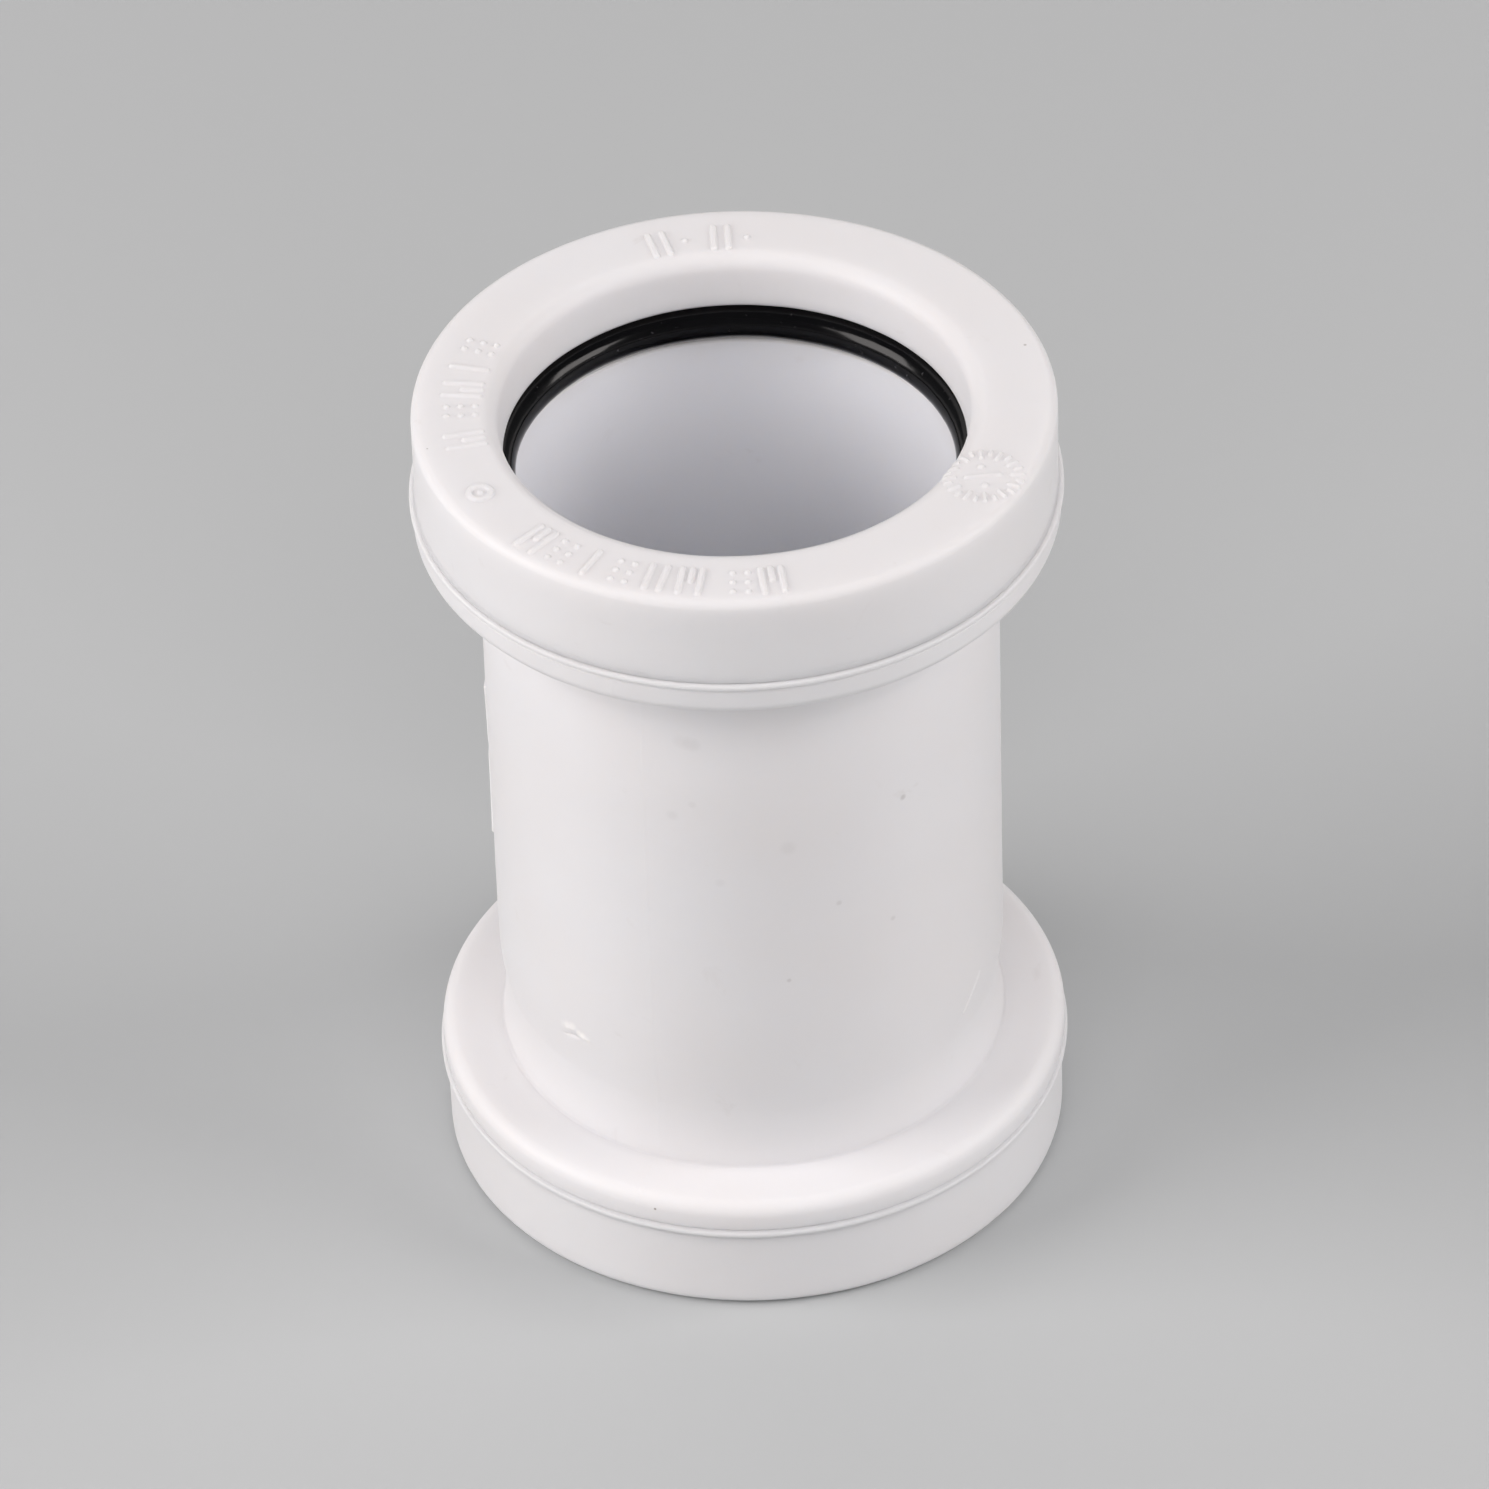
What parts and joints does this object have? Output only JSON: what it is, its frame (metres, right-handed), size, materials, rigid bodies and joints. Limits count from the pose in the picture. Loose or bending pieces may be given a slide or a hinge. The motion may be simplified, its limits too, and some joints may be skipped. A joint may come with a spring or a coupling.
{
  "type": "push fit pipe coupling",
  "caption": "Straight push-fit coupling that joins two plastic waste pipes end to end, with a retaining cap and a rubber lip seal at each end.",
  "frame": {"origin": "centre of the lower end face, which the coupling stands on", "axes": "+Z along the bore, from the lower end to the upper end; +X and +Y across the bore, +X away from the raised pad's side"},
  "size_m": [0.0508, 0.0508, 0.0718],
  "materials": {
    "white_polypropylene": "satin moulded white polypropylene",
    "black_rubber": "smooth moulded black rubber with a lubricated sheen"
  },
  "bodies": {
    "root": {"body": "white_polypropylene", "top_retaining_cap": "white_polypropylene", "bottom_retaining_cap": "white_polypropylene", "top_lip_seal": "black_rubber", "bottom_lip_seal": "black_rubber"}
  },
  "joints": []
}
